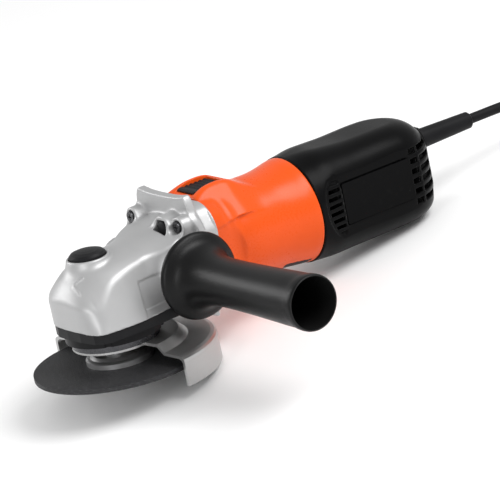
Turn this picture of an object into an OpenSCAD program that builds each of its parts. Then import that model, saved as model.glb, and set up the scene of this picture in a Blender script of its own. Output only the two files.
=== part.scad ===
// Small corded angle grinder, standing as it is put down on a bench:
// on the rear of its wheel guard and on the tail of its housing.
// Sizes are in the tool's own frame: X runs from the gear head to the cord, the
// spindle axis is x = 0, y = 0 and the lower face of the wheel is z = 0.
// placed() then tips that frame back on to the bench, with the bench at z = 0.

/* [Wheel and spindle] */
// Radius of the cutting wheel
wheel_r = 57.5; // [50:0.5:58]
// Thickness of the cutting wheel
wheel_t = 3; // [2:0.5:6]
// Radius of the bore in the wheel
wheel_bore_r = 11.1; // [10:0.1:11.5]
// Radius of the spindle's threaded end
thread_r = 7; // [6:0.5:8]
// How far the threaded end stands below the wheel
thread_below = 11; // [10:0.5:12]
// Radius of the backing flange and of the clamp nut
flange_r = 22.3; // [19:0.1:24]

/* [Gear head] */
// Height of the motor axis over the wheel's lower face
axis_z = 53.4; // [52:0.1:56]
// Half width of the casting
head_half_w = 37.5; // [36:0.5:39]
// Distance from the spindle axis to the front face
head_front = 35; // [33:0.5:37]
// Half width of the square rear flange
rear_half_w = 37; // [36:0.5:38]
// Number of crown gear teeth
crown_teeth = 37; // [37:1:37]
// Number of pinion teeth
pinion_teeth = 12; // [12:1:12]
// Gear module at the outer end of the teeth
gear_module = 1.25; // [1.2:0.01:1.28]

/* [Guard] */
// Outer radius of the guard's skirt
guard_r = 65; // [63:0.5:68]
// Sheet thickness of the guard
guard_t = 2; // [1.5:0.1:2.5]
// How far the skirt reaches below the wheel's lower face
skirt_below = 9; // [6:0.5:11]
// Direction of the middle of the hood, from +X
hood_middle = 7; // [0:1:20]
// Angle that the hood covers
hood_angle = 180; // [170:1:180]

/* [Side handle] */
// Distance of the handle's axis behind the spindle
handle_x = 39.8; // [38:0.1:41]
// Distance of the handle's end from the spindle axis
handle_end = 177.5; // [170:0.5:185]
// Radius of the handle's hand guard
hand_guard_r = 28.5; // [26:0.5:30]
// Radius of the grip at its thin part
grip_r = 15.8; // [15:0.1:16.5]
// Radius of the grip at its end
grip_end_r = 18.2; // [17.5:0.1:19]

/* [Motor housing] */
// Where the gear head ends and the motor housing starts
housing_front = 70; // [69:0.5:71]
// Where the motor housing ends and the tail starts
housing_rear = 151; // [148:0.5:154]
// Radius of the motor housing round the stator
housing_r = 34; // [33.5:0.1:35]
// Radius of the motor housing at its rear edge
housing_rear_r = 36.5; // [36:0.1:37]
// Wall thickness of the plastic housings
wall = 2.5; // [2:0.1:2.6]

/* [Tail] */
// Where the tail ends
tail_end = 262; // [256:1:268]
// Half width of the tail
tail_half_w = 33.6; // [33:0.1:35]
// Half height of the tail
tail_half_h = 34; // [33:0.1:35]
// Height of the cord's exit over the motor axis
cord_exit_up = 13.5; // [10:0.5:15]

/* [Controls] */
// Travel of the slide switch
switch_travel = 8; // [6:0.5:8]
// Travel of the spindle lock button
lock_travel = 3.5; // [3:0.1:3.5]
// Distance of the lock button in front of the spindle axis
lock_x = 8; // [7:0.5:8]
// Radius of the lock button
lock_r = 12.2; // [11:0.1:12.5]

/* [Cord] */
// Diameter of the mains cord
cord_d = 7; // [6.5:0.1:7.5]

/* [Hidden] */
$fn = 96;
slop = 0.01;
run_gap = 0.05;

// The tool rests on the rear of the skirt and on the tail's underside.
tail_foot_x = tail_end - 17;
tail_foot_z = axis_z - tail_half_h;
rest_tilt = atan((tail_foot_z + skirt_below) / (tail_foot_x - guard_r));
origin_z = guard_r * sin(rest_tilt) + skirt_below * cos(rest_tilt);
relief_end = 306;
relief_z = axis_z + cord_exit_up;
relief_tip_r = 5.6;
front_reach = -wheel_r * cos(rest_tilt);
rear_reach = relief_end * cos(rest_tilt) + (relief_z + relief_tip_r) * sin(rest_tilt);
origin_x = -(front_reach + rear_reach) / 2;
origin_y = (handle_end - guard_r) / 2;

// Heights in the gear head
cover_top = 34;
cover_bottom = 27.5;
neck_r = 27;
neck_bottom = 15.5;
band_r = 29.1;
band_bottom = 16.9;
band_top = 21.3;
band_angle = 110;
band_screw_at = 35.5;
band_screw_z = 19.4;
shoulder_z = 11.7;
collar_t = 1.4;
tier_bottom = 21.5;
tier_r = 32.5;
cover_screw_x = 22.5;
cover_screw_y = 26;
screw_face = 48;
screw_tip = 75;
flange_corner = 19;
flange_top = wheel_t + 6;
nut_bottom = -7.5;
lead_in_step = 0.5;
bearing_low = 17.5;
bearing_high = 27.5;
bush_low = 62;
bush_high = 67;

// Bevel gears: both cones meet where the two axes cross.
crown_r = crown_teeth * gear_module / 2;
cone_angle = atan(crown_teeth / pinion_teeth);
cone_outer = crown_r / sin(cone_angle);
cone_inner = cone_outer * 0.72;
tooth_tip = 0.8 * gear_module;
tooth_root = 1.15 * gear_module;
tip_half = 0.26 * gear_module;
root_half = 0.80 * gear_module;
crown_base = 34.6;
lock_hole_r = 2.9;
pin_r = 2.5;
pin_x = 11;
crown_hub_top = 41;
button_bottom = 75.6;

// Stations along the motor axis
front_bearing_x = 44;
fan_x = 58;
core_x = 88;
core_len = 38;
commutator_x = 136;
commutator_len = 14;
commutator_r = 11;
rear_bearing_x = 156;
shaft_r = 4;
brush_x = 143;
stator_r = 29;
bore_gap = 0.8;
core_r = 17.5;

// The coil lies behind the tool, with its outer turn in line with the strain relief
coil_turns_r = 6.5 * cord_d;
tie_t = 0.8;
relief_dir = [cos(rest_tilt), 0, -sin(rest_tilt)];
relief_out = [origin_x + relief_end * cos(rest_tilt) + relief_z * sin(rest_tilt), origin_y,
    origin_z - relief_end * sin(rest_tilt) + relief_z * cos(rest_tilt)];
cord_r = cord_d / 2;
coil_centre = [306, origin_y - coil_turns_r, 0];

module placed() {
    translate([origin_x, origin_y, origin_z]) rotate([0, rest_tilt, 0]) children();
}

// Round parts on the motor axis, starting at x
module on_motor(x) {
    translate([x, 0, axis_z]) rotate([0, 90, 0]) children();
}

// A section drawn as (y, z) and run along +X
module along_x(x, len) {
    translate([x, 0, 0]) rotate([90, 0, 90]) linear_extrude(len) children();
}

// An outline drawn as (x, z) and run across the tool
module across_y(half) {
    translate([0, half, 0]) rotate([90, 0, 0]) linear_extrude(2 * half) children();
}

module ring(r_out, r_in, h) {
    difference() {
        cylinder(h = h, r = r_out);
        translate([0, 0, -1]) cylinder(h = h + 2, r = r_in);
    }
}

module rounded_rect(half_w, half_h, r) {
    square([2 * (half_w - r), 2 * half_h], center = true);
    square([2 * half_w, 2 * (half_h - r)], center = true);
    for (i = [-1, 1], j = [-1, 1])
        translate([i * (half_w - r), j * (half_h - r)]) circle(r);
}

// ---- gear head -------------------------------------------------------------

module head_side_outline() {
    polygon([[-head_front, cover_top], [-head_front - 1.5, 54], [-head_front + 2, 58.5],
        [-27, 64.5], [-18, 69.5], [-6, 73], [8, 74.5], [22, 75.5], [34, 78.5], [46, 83], [56, 86],
        [56, 20], [46, 22], [38, cover_top]]);
}

module head_plan_outline() {
    polygon([[-head_front - 1.5, 0], [-head_front - 1, -14], [-33.5, -28], [-30.5, -33.5],
        [-25, -36.5], [-10, -head_half_w], [10, -head_half_w], [30, -36.5], [56, -34.5],
        [56, 34.5], [30, 36.5], [10, head_half_w], [-9, head_half_w - 0.5], [-17, head_half_w - 1.8],
        [-24, 31.5], [-28.5, 26], [-32, 20], [-head_front, 12]]);
}

module head_front_outline() {
    polygon([[-40, 16], [-39, 34], [-29, 66], [-24, 76], [-14, 88], [14, 88], [24, 76],
        [29, 66], [39, 34], [40, 16]]);
}

module screw_places() {
    for (i = [-1, 1], j = [-1, 1])
        translate([0, i * 27, axis_z + j * 27.5]) rotate([0, 90, 0]) children();
}

module gear_housing() {
    color([0.72, 0.73, 0.74])
    placed() difference() {
        union() {
            intersection() {
                across_y(40) head_side_outline();
                translate([0, 0, 10]) linear_extrude(90) head_plan_outline();
                along_x(-40, 100) head_front_outline();
            }
            translate([0, 0, axis_z])
                along_x(52, housing_front - 52) rounded_rect(rear_half_w, rear_half_w, flange_corner);
            // raised brow in front of the slide switch
            along_x(54.5, 7) polygon([[-31, 80], [-29.5, 96], [-26.5, 98.8], [-12, 95.8], [12, 95.8],
                [26.5, 98.8], [29.5, 96], [31, 80]]);
            // bosses for the four screws
            translate([screw_face - 1.5, 0, 0]) screw_places() cylinder(h = 8, r = 7);
            // bosses for the side handle
            for (i = [-1, 1])
                translate([handle_x, i * 43, axis_z]) rotate([i * 90, 0, 0]) cylinder(h = 12, r = 11);
            // collar round the lock button
            translate([-lock_x, 0, 68]) cylinder(h = 8, r = lock_r + 2);
        }
        // gear chamber, open downwards for the bearing cover
        translate([0, 0, cover_top - 1]) cylinder(h = 28, r = 26.5);
        translate([0, 0, 60.9]) cylinder(h = bush_high - 60.9, r = 6);
        // pinion tunnel and front bearing seat
        on_motor(8) cylinder(h = 46, r = 11);
        on_motor(front_bearing_x) cylinder(h = 40, r = 13);
        // fan chamber
        on_motor(fan_x - 2) cylinder(h = 40, r = 31);
        // lock pin and button
        translate([-pin_x, 0, 55]) cylinder(h = 30, r = pin_r + run_gap);
        translate([-lock_x, 0, button_bottom - lock_travel - 0.1]) cylinder(h = 12, r = lock_r + 0.1);
        translate([-pin_x, 0, 66]) cylinder(h = 10, r = 4.8);
        // threaded holes for the side handle, one on each side
        translate([handle_x, -50, axis_z]) rotate([-90, 0, 0]) cylinder(h = 26, r = 4 + run_gap);
        translate([handle_x, 24, axis_z]) rotate([-90, 0, 0]) cylinder(h = 26, r = 4);
        // screw holes and the faces that the screw heads bear on
        translate([30, 0, 0]) screw_places() cylinder(h = 60, r = 2);
        translate([screw_face - 15, 0, 0]) screw_places() cylinder(h = 15, r = 4.3);
        // the cast pocket beside the near upper screw
        translate([42, -14.5, 79]) rotate([0, 90, 0]) cylinder(h = 8, r = 5.5, $fn = 5);
        for (i = [-1, 1], j = [-1, 1])
            translate([j * cover_screw_x, i * cover_screw_y, cover_top - 1]) cylinder(h = 12, r = 1.6);
    }
}

module head_screws() {
    color([0.2, 0.2, 0.21])
    placed() translate([screw_face, 0, 0]) screw_places() difference() {
        union() {
            cylinder(h = screw_tip - screw_face, r = 2);
            translate([0, 0, -3]) cylinder(h = 3, r = 3.7);
        }
        for (a = [0, 90])
            rotate([0, 0, a]) translate([-2.2, -0.45, -4]) cube([4.4, 0.9, 2.6]);
    }
}

module cover_outline() {
    polygon([[-head_front + 0.5, 0], [-head_front + 1, -14], [-32, -27.5], [-29, -32.5],
        [-24, -35.5], [-10, -head_half_w + 1], [10, -head_half_w + 1], [30, -35.5], [37, -30],
        [37, 30], [30, 35.5], [10, head_half_w - 1], [-9, head_half_w - 1.3], [-16.5, head_half_w - 2.5],
        [-23.3, 31], [-27.7, 25.5], [-31.2, 19.5], [-head_front + 1, 12]]);
}

module bearing_cover() {
    color([0.1, 0.1, 0.1])
    placed() difference() {
        union() {
            translate([0, 0, cover_bottom]) linear_extrude(cover_top - cover_bottom) cover_outline();
            translate([0, 0, neck_bottom]) cylinder(h = 14, r = neck_r);
            translate([0, 0, tier_bottom]) cylinder(h = cover_bottom + 1 - tier_bottom, r = tier_r);
        }
        translate([0, 0, neck_bottom - 1]) cylinder(h = 30, r = 11);
        translate([0, 0, bearing_low]) cylinder(h = 30, r = 16);
        for (i = [-1, 1], j = [-1, 1])
            translate([j * cover_screw_x, i * cover_screw_y, tier_bottom - 1]) {
                cylinder(h = 18, r = 1.6);
                cylinder(h = cover_bottom + 3 - tier_bottom, r = 3.2);
            }
    }
}

module cover_screws() {
    color([0.2, 0.2, 0.21])
    placed() for (i = [-1, 1], j = [-1, 1])
        translate([j * cover_screw_x, i * cover_screw_y, cover_bottom]) difference() {
            union() {
                cylinder(h = 16, r = 1.6);
                cylinder(h = 2, r = 3.2);
            }
            for (a = [0, 90])
                rotate([0, 0, a]) translate([-1.8, -0.4, -1]) cube([3.6, 0.8, 2]);
        }
}

module bearing_outer(r_out, r_in, w) {
    r_mid = (r_out + r_in) / 2;
    difference() {
        ring(r_out, r_mid - 0.4, w);
        translate([0, 0, 0.8]) cylinder(h = w - 1.6, r = r_mid + 1.2);
    }
}

module bearing_inner(r_out, r_in, w) {
    ring((r_out + r_in) / 2 - 0.5, r_in, w);
}

module spindle_bearing_outer() {
    color([0.75, 0.75, 0.77])
    placed() translate([0, 0, bearing_low]) bearing_outer(16, 6, bearing_high - bearing_low);
}

module spindle_bearing_inner() {
    color([0.75, 0.75, 0.77])
    placed() translate([0, 0, bearing_low]) bearing_inner(16, 6, bearing_high - bearing_low);
}

module spindle_bush() {
    color([0.7, 0.55, 0.25])
    placed() translate([0, 0, bush_low]) ring(6, 4 + run_gap, bush_high - bush_low);
}

module felt_seal() {
    color([0.8, 0.78, 0.7])
    placed() translate([0, 0, neck_bottom]) ring(11, 9 + run_gap, 1.6);
}

// ---- spindle ---------------------------------------------------------------

module spindle() {
    color([0.6, 0.6, 0.62])
    placed() difference() {
        union() {
            // plain lead-in that finds the nut before its thread does
            translate([0, 0, -thread_below]) cylinder(h = 10, r = thread_r - lead_in_step);
            translate([0, 0, nut_bottom]) cylinder(h = flange_top - nut_bottom, r = thread_r);
            translate([0, 0, flange_top]) cylinder(h = bearing_low - flange_top, r = 9);
            translate([0, 0, bearing_low - slop]) cylinder(h = 40 - bearing_low, r = 6);
            translate([0, 0, 39]) cylinder(h = bush_high - 40, r = 4);
        }
        for (i = [-1, 1])
            translate([-20, i * 12 - 4, flange_top + 1]) cube([40, 8, 4.5]);
        translate([4, -2, crown_base]) cube([4, 4, 5]);
    }
}

module crown_key() {
    color([0.5, 0.5, 0.52])
    placed() translate([4, -2, crown_base]) cube([4, 4, 5]);
}

// One straight bevel tooth: dir is the cone's half angle, drawn round +Z with
// the apex at the origin and the teeth facing away from the axis.
module bevel_tooth(half_angle) {
    gen = [sin(half_angle), cos(half_angle)];
    nor = [cos(half_angle), -sin(half_angle)];
    function at(d, up) = let(k = d / cone_outer) d * gen + k * up * nor;
    function quad(d) = let(k = d / cone_outer, lo = at(d, -tooth_root - 0.3), hi = at(d, tooth_tip))
        [[lo[0], -k * root_half, lo[1]], [lo[0], k * root_half, lo[1]],
         [hi[0], k * tip_half, hi[1]], [hi[0], -k * tip_half, hi[1]]];
    polyhedron(points = concat(quad(cone_inner), quad(cone_outer)),
        faces = [[3, 2, 1, 0], [4, 5, 6, 7], [0, 1, 5, 4], [1, 2, 6, 5], [2, 3, 7, 6], [3, 0, 4, 7]]);
}

// Root cone of a bevel gear as (r, z) points at the inner and outer ends
function root_point(half_angle, d) = let(k = d / cone_outer)
    [d * sin(half_angle) - k * tooth_root * cos(half_angle),
     d * cos(half_angle) + k * tooth_root * sin(half_angle)];

module crown_gear() {
    inner = root_point(cone_angle, cone_inner);
    outer = root_point(cone_angle, cone_outer);
    color([0.55, 0.55, 0.57])
    placed() difference() {
        union() {
            rotate_extrude() polygon([[6, crown_base], [outer[0], crown_base + 2], 
                [outer[0], axis_z - outer[1]],
                [inner[0], axis_z - inner[1]], [inner[0] - 2, crown_hub_top], [6, crown_hub_top]]);
            translate([0, 0, axis_z]) mirror([0, 0, 1])
                for (i = [0 : crown_teeth - 1]) rotate([0, 0, i * 360 / crown_teeth])
                    bevel_tooth(cone_angle);
        }
        translate([4, -2, crown_base - 1]) cube([4, 4, 6]);
        for (a = [0 : 90 : 270])
            rotate([0, 0, a + 180]) translate([pin_x, 0, crown_base + 1.5])
                cylinder(h = 20, r = lock_hole_r);
    }
}

module backing_flange() {
    color([0.7, 0.7, 0.7])
    placed() difference() {
        union() {
            rotate_extrude() polygon([[thread_r, wheel_t], [flange_r, wheel_t],
                [flange_r, wheel_t + 3.2], [flange_r - 1.2, wheel_t + 3.8], [flange_r - 3, wheel_t + 4.2],
                [flange_r - 5, flange_top], [thread_r, flange_top]]);
            translate([0, 0, 0.5]) ring(wheel_bore_r - run_gap, thread_r, 3);
        }
        rotate_extrude() polygon([[15, wheel_t - 1], [18, wheel_t - 1], [18, wheel_t + 1],
            [15, wheel_t + 1]]);
    }
}

module cutting_wheel() {
    color([0.2, 0.2, 0.21])
    placed() ring(wheel_r, wheel_bore_r, wheel_t);
}

module clamp_nut() {
    color([0.55, 0.55, 0.57])
    placed() difference() {
        rotate_extrude() polygon([[thread_r, -7.5], [12, -7.5], [14, -6], [20, -6], [20.5, -5.5],
            [20.5, -0.5], [20, 0], [thread_r, 0]]);
        for (a = [45 : 90 : 315]) rotate([0, 0, a]) translate([16.5, 0, -8]) cylinder(h = 4, r = 2.4);
    }
}

// ---- guard -----------------------------------------------------------------

// A wedge of the plane that holds the hood
module hood_wedge(r) {
    from = hood_middle - hood_angle / 2;
    polygon(concat([[0, 0]], [for (k = [0 : 6]) 1.5 * r *
        [cos(from + k * hood_angle / 6), sin(from + k * hood_angle / 6)]]));
}

module guard_hood() {
    r_in = guard_r - guard_t;
    color([0.78, 0.78, 0.79])
    placed() {
        intersection() {
            rotate_extrude() polygon([[27.2, band_bottom - guard_t], [39.9, band_bottom - guard_t],
                [45.6, shoulder_z - guard_t], [60.2, shoulder_z - 2.6], [62.2, shoulder_z - 3.6],
                [r_in, shoulder_z - 5.2], [r_in, -skirt_below], [guard_r, -skirt_below],
                [guard_r, shoulder_z - 4.4], [64.6, shoulder_z - 2.6], [63.3, shoulder_z - 1.4],
                [61, shoulder_z - 0.7], [46.4, shoulder_z], [40.7, band_bottom], [27.2, band_bottom]]);
            translate([0, 0, -20]) linear_extrude(60) hood_wedge(guard_r);
        }
        translate([0, 0, band_bottom - collar_t]) ring(band_r, 27.2, collar_t);
    }
}

module guard_band() {
    color([0.75, 0.75, 0.76])
    placed() difference() {
        union() {
            translate([0, 0, band_bottom]) ring(band_r, neck_r + run_gap, band_top - band_bottom);
            rotate([0, 0, band_angle]) translate([27.6, -4.6, band_bottom + 0.4]) cube([10.6, 9.2, 3.6]);
        }
        rotate([0, 0, band_angle]) translate([20, -2.6, band_bottom - 1]) cube([20, 5.2, 12]);
        rotate([0, 0, band_angle]) translate([band_screw_at, -10, band_screw_z])
            rotate([-90, 0, 0]) cylinder(h = 20, r = 1.25);
    }
}

module band_screw() {
    color([0.3, 0.3, 0.31])
    placed() rotate([0, 0, band_angle]) translate([band_screw_at, 0, band_screw_z]) rotate([-90, 0, 0]) {
        translate([0, 0, -7]) cylinder(h = 15, r = 1.25);
        translate([0, 0, -6.6]) cylinder(h = 2, r = 2.3);
        translate([0, 0, 4.6]) cylinder(h = 2, r = 2.4, $fn = 6);
    }
}

// ---- spindle lock ----------------------------------------------------------

module lock_button() {
    color([0.12, 0.12, 0.12])
    placed() {
        translate([-lock_x, 0, button_bottom]) rotate_extrude() polygon([[0, 0], [lock_r - 0.4, 0],
            [lock_r, 0.4], [lock_r, 1.8], [lock_r - 1.4, 3.2], [lock_r - 4.4, 4.2],
                [lock_r - 8, 4.7], [0, 4.9]]);
        translate([-pin_x, 0, crown_hub_top + 0.4]) cylinder(h = 36, r = pin_r);
    }
}

module lock_spring() {
    color([0.7, 0.7, 0.72])
    placed() translate([-pin_x, 0, 66.1]) ring(4.4, 3.2, 9.4);
}

// ---- side handle -----------------------------------------------------------

module on_handle() {
    translate([handle_x, 0, axis_z]) rotate([90, 0, 0]) children();
}

module handle_grip() {
    waist = 78;
    color([0.1, 0.1, 0.1])
    placed() on_handle() difference() {
        rotate_extrude() polygon([[0, 43.1], [13, 43.1], [20, 45.5], [26.5, 47.4], [hand_guard_r, 49.6],
            [hand_guard_r + 0.2, 51.4], [hand_guard_r - 1, 53.6], [hand_guard_r - 3.5, 54.6], [22.5, 56.2],
            [19.6, 59.4], [17.8, 64], [16.5, 70], [grip_r, waist], [grip_r, 100],
            [grip_r + 0.7, 130], [grip_end_r - 0.6, 160], [grip_end_r - 0.9, 164],
            [grip_end_r - 0.2, 166], [grip_end_r, handle_end - 1], [grip_end_r - 1, handle_end],
            [0, handle_end]]);
        translate([0, 0, 76]) cylinder(h = 200, r = grip_r - 2.8);
        translate([0, 0, 160]) cylinder(h = 40, r = grip_end_r - 1.7);
        translate([0, 0, 40]) cylinder(h = 60, r = 4);
    }
}

module handle_stud() {
    color([0.7, 0.7, 0.72])
    placed() on_handle() {
        translate([0, 0, 26]) cylinder(h = 50, r = 4);
        translate([0, 0, 76]) cylinder(h = 5.3, r = 7.5, $fn = 6);
    }
}

// ---- motor housing and what it holds ---------------------------------------

module housing_body(grow) {
    // square front end, round stator barrel and the slow swell to the rear edge
    translate([0, 0, axis_z]) along_x(housing_front, 16)
        rounded_rect(rear_half_w - 3 + grow, rear_half_w - 3 + grow, flange_corner + grow);
    hull() {
        translate([0, 0, axis_z]) along_x(housing_front + 15, 1)
            rounded_rect(rear_half_w - 3 + grow, rear_half_w - 3 + grow, flange_corner + grow, $fn = 32);
        on_motor(97) cylinder(h = 1, r = housing_r + grow, $fn = 64);
    }
    on_motor(0) rotate_extrude() polygon([[0, 97], [housing_r + grow, 97],
        [housing_r + grow, 132], [housing_r + 0.8 + grow, 140], [housing_rear_r + grow, 147],
        [housing_rear_r + grow, housing_rear], [0, housing_rear]]);
}

module motor_housing() {
    hump_half = 16;
    color([0.93, 0.4, 0.13])
    placed() difference() {
        union() {
            housing_body(0);
            // hump under the slide switch, with a finger wall on each side
            across_y(hump_half) polygon([[housing_front, 78], [housing_front, 91.2], [102, 91.2],
                [112, 86.5], [118, 78]]);
            for (i = [-1, 1]) translate([0, i * 13, 0])
                across_y(2.6) polygon([[housing_front, 90], [housing_front, 92.4], [78, 94.6],
                    [88, 95.4], [97, 94.6], [103, 90]]);
        }
        difference() {
            housing_body(-wall);
            // the rear web that holds the brush gear
            on_motor(148) ring(60, 25, 10);
        }
        on_motor(housing_front - 1) cylinder(h = 4, r = 30);
        on_motor(147) cylinder(h = 10, r = 25);
        // slot for the slide button's stem, and the channel for the switch rod
        translate([83.5 - switch_travel, -5.2, 70]) cube([5.2 + switch_travel, 10.4, 30]);
        translate([housing_front + 2, -8, 70]) cube([36, 16, 18.4]);
        translate([housing_front - 1, 0, 0]) screw_places() cylinder(h = 6.5, r = 2);
        on_motor(140) screw_circle() cylinder(h = 20, r = 1.5);
        translate([140, -5, 78]) cube([20, 10, 7]);
    }
}

module screw_circle() {
    for (a = [35, 145, 215, 325]) rotate([0, 0, a]) translate([29.6, 0, 0]) children();
}

module bearing_plate() {
    color([0.3, 0.3, 0.32])
    placed() {
        on_motor(front_bearing_x + 8) ring(13, 7, fan_x - 2 - front_bearing_x - 8);
        on_motor(fan_x - 2) ring(17, 7, 1);
    }
}

module armature_shaft() {
    color([0.6, 0.6, 0.62])
    placed() on_motor(0) {
        translate([0, 0, 15]) cylinder(h = front_bearing_x - 15, r = shaft_r);
        translate([0, 0, front_bearing_x]) cylinder(h = 20, r = shaft_r);
        translate([0, 0, 60]) cylinder(h = rear_bearing_x - 60, r = shaft_r);
        translate([0, 0, rear_bearing_x]) cylinder(h = 6, r = 3.5);
    }
}

module pinion() {
    half = 90 - cone_angle;
    inner = root_point(half, cone_inner);
    outer = root_point(half, cone_outer);
    color([0.5, 0.5, 0.52])
    placed() translate([0, 0, axis_z]) rotate([0, 90, 0]) difference() {
        union() {
            rotate_extrude() polygon([[shaft_r, inner[1]], [inner[0], inner[1]], [outer[0], outer[1]],
                [outer[0], outer[1] + 3], [8, outer[1] + 5], [8, front_bearing_x],
                    [shaft_r, front_bearing_x]]);
            for (i = [0 : pinion_teeth - 1])
                rotate([0, 0, (i + 0.5) * 360 / pinion_teeth]) bevel_tooth(half);
        }
        translate([0, 0, 0]) cylinder(h = 60, r = shaft_r);
    }
}

module pinion_nut() {
    color([0.6, 0.6, 0.62])
    placed() on_motor(12.6) difference() {
        cylinder(h = 3.6, r = 4.9, $fn = 6);
        translate([0, 0, 2.4]) cylinder(h = 4, r = shaft_r);
    }
}

module front_bearing_outer() {
    color([0.75, 0.75, 0.77])
    placed() on_motor(front_bearing_x) bearing_outer(13, shaft_r, 8);
}

module front_bearing_inner() {
    color([0.75, 0.75, 0.77])
    placed() on_motor(front_bearing_x) bearing_inner(12, shaft_r, 8);
}

module fan() {
    color([0.15, 0.15, 0.15])
    placed() on_motor(fan_x) {
        ring(28, shaft_r, 2);
        ring(9, shaft_r, 14);
        for (a = [0 : 30 : 330]) rotate([0, 0, a]) translate([8, -0.7, 1]) cube([19.5, 1.4, 9]);
    }
}

module air_baffle() {
    color([0.2, 0.2, 0.2])
    placed() on_motor(housing_front + 4) difference() {
        ring(29.6, 20, 1.6);
        translate([-35, -8.2, -1]) cube([14, 16.4, 4]);
    }
}

module armature_core() {
    color([0.45, 0.45, 0.47])
    placed() on_motor(core_x) difference() {
        ring(core_r, shaft_r, core_len);
        for (a = [0 : 30 : 330]) rotate([0, 0, a]) translate([13.5, -1.1, -1])
            cube([10, 2.2, core_len + 2]);
    }
}

module armature_windings() {
    color([0.72, 0.38, 0.18])
    placed() {
        on_motor(core_x - 7.5) rotate_extrude() polygon([[6, 0], [12, 0], [14.6, 2.4], [15, 7.5],
            [6, 7.5]]);
        on_motor(core_x + core_len) rotate_extrude() polygon([[6, 0], [15, 0], [14.6, 4.6],
            [11, 8], [6, 8]]);
    }
}

module commutator() {
    color([0.72, 0.42, 0.22])
    placed() on_motor(commutator_x) difference() {
        ring(commutator_r, shaft_r, commutator_len);
        for (a = [0 : 15 : 345]) rotate([0, 0, a]) translate([commutator_r - 0.7, -0.25, -1])
            cube([4, 0.5, commutator_len + 2]);
    }
}

module rear_bearing_outer() {
    color([0.75, 0.75, 0.77])
    placed() on_motor(rear_bearing_x) bearing_outer(9.5, 3.5, 6);
}

module rear_bearing_inner() {
    color([0.75, 0.75, 0.77])
    placed() on_motor(rear_bearing_x) bearing_inner(9.5, 3.5, 6);
}

module bearing_boot() {
    color([0.08, 0.08, 0.08])
    placed() on_motor(rear_bearing_x) difference() {
        cylinder(h = 8, r = 11);
        translate([0, 0, -1]) cylinder(h = 7, r = 9.5);
    }
}

module stator_core() {
    color([0.4, 0.4, 0.42])
    placed() on_motor(core_x - 1) difference() {
        cylinder(h = core_len + 2, r = stator_r);
        translate([0, 0, -1]) cylinder(h = core_len + 4, r = core_r + bore_gap);
        for (i = [-1, 1]) translate([i * 21 - 4, -13, -1]) cube([8, 26, core_len + 4]);
    }
}

module field_coils() {
    color([0.7, 0.36, 0.16])
    placed() for (i = [-1, 1])
        translate([core_x - 6, -12.5, axis_z + i * 21 - 2.6]) difference() {
            cube([core_len + 12, 25, 5.2]);
            translate([5, 5, -1]) cube([core_len + 2, 15, 8]);
        }
}

module brush_places() {
    for (i = [0, 1]) translate([brush_x, 0, axis_z]) rotate([i * 180, 0, 0]) children();
}

module brush_holders() {
    color([0.75, 0.6, 0.3])
    placed() brush_places() translate([-4.6, 12.4, -3.6]) difference() {
        cube([9.2, 12, 7.2]);
        translate([1.1, -1, 1.1]) cube([7, 12, 5]);
    }
}

module carbon_brushes() {
    color([0.15, 0.15, 0.16])
    placed() brush_places() translate([-3.5, commutator_r + 0.1, -2.5]) cube([7, 7, 5]);
}

module brush_springs() {
    color([0.7, 0.7, 0.72])
    placed() brush_places() translate([0, commutator_r + 7.1, 0]) rotate([-90, 0, 0]) ring(2.2, 1.4, 5.2);
}

// ---- switch ----------------------------------------------------------------

module slide_button() {
    color([0.12, 0.12, 0.12])
    placed() {
        difference() {
            across_y(9.7) polygon([[74, 91.3], [74, 92.6], [76, 93.4], [95, 93.4], [97, 92.6], [97, 91.3]]);
            for (k = [0 : 4]) translate([78.5 + k * 3.6, -11, 92.7]) cube([1.4, 22, 2]);
        }
        translate([84, -5, 84.3]) cube([4, 10, 8]);
        translate([81, -6.5, 84.3]) cube([10, 13, 1.4]);
    }
}

module switch_rod() {
    color([0.75, 0.75, 0.76])
    placed() {
        translate([85, -3, 82.8]) cube([104, 6, 1.3]);
        translate([85, -2, 82.8]) cube([2, 4, 1.5]);
        translate([187, -3, 66.1]) cube([2, 6, 18]);
    }
}

module switch_unit() {
    color([0.14, 0.14, 0.15])
    placed() {
        translate([190, -8, 40]) cube([32, 16, 22]);
        translate([192, -5, 62]) cube([14, 10, 3]);
    }
}

// ---- tail ------------------------------------------------------------------

module tail_body(grow) {
    r_front = 24 + grow;
    hull() {
        on_motor(housing_rear) cylinder(h = 1, r = housing_rear_r + grow, $fn = 64);
        translate([0, 0, axis_z]) along_x(174, 1)
            rounded_rect(tail_half_w + grow, tail_half_h + grow, r_front, $fn = 32);
    }
    hull() {
        translate([0, 0, axis_z]) along_x(174, 1)
            rounded_rect(tail_half_w + grow, tail_half_h + grow, r_front, $fn = 32);
        translate([0, 0, axis_z]) along_x(tail_end - 28, 1)
            rounded_rect(tail_half_w - 0.6 + grow, tail_half_h + grow, r_front, $fn = 32);
        translate([0, 0, axis_z]) along_x(tail_foot_x, 1)
            rounded_rect(tail_half_w - 5 + grow, tail_half_h + grow, r_front, $fn = 32);
        translate([0, 0, axis_z]) along_x(tail_end - 8 + grow, 1)
            rounded_rect(tail_half_w - 13 + grow, tail_half_h - 5 + grow, r_front - 8, $fn = 32);
        translate([0, 0, axis_z]) along_x(tail_end - 1 + grow, 1)
            rounded_rect(tail_half_w - 20 + grow, tail_half_h - 11 + grow, r_front - 13, $fn = 32);
    }
}

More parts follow.
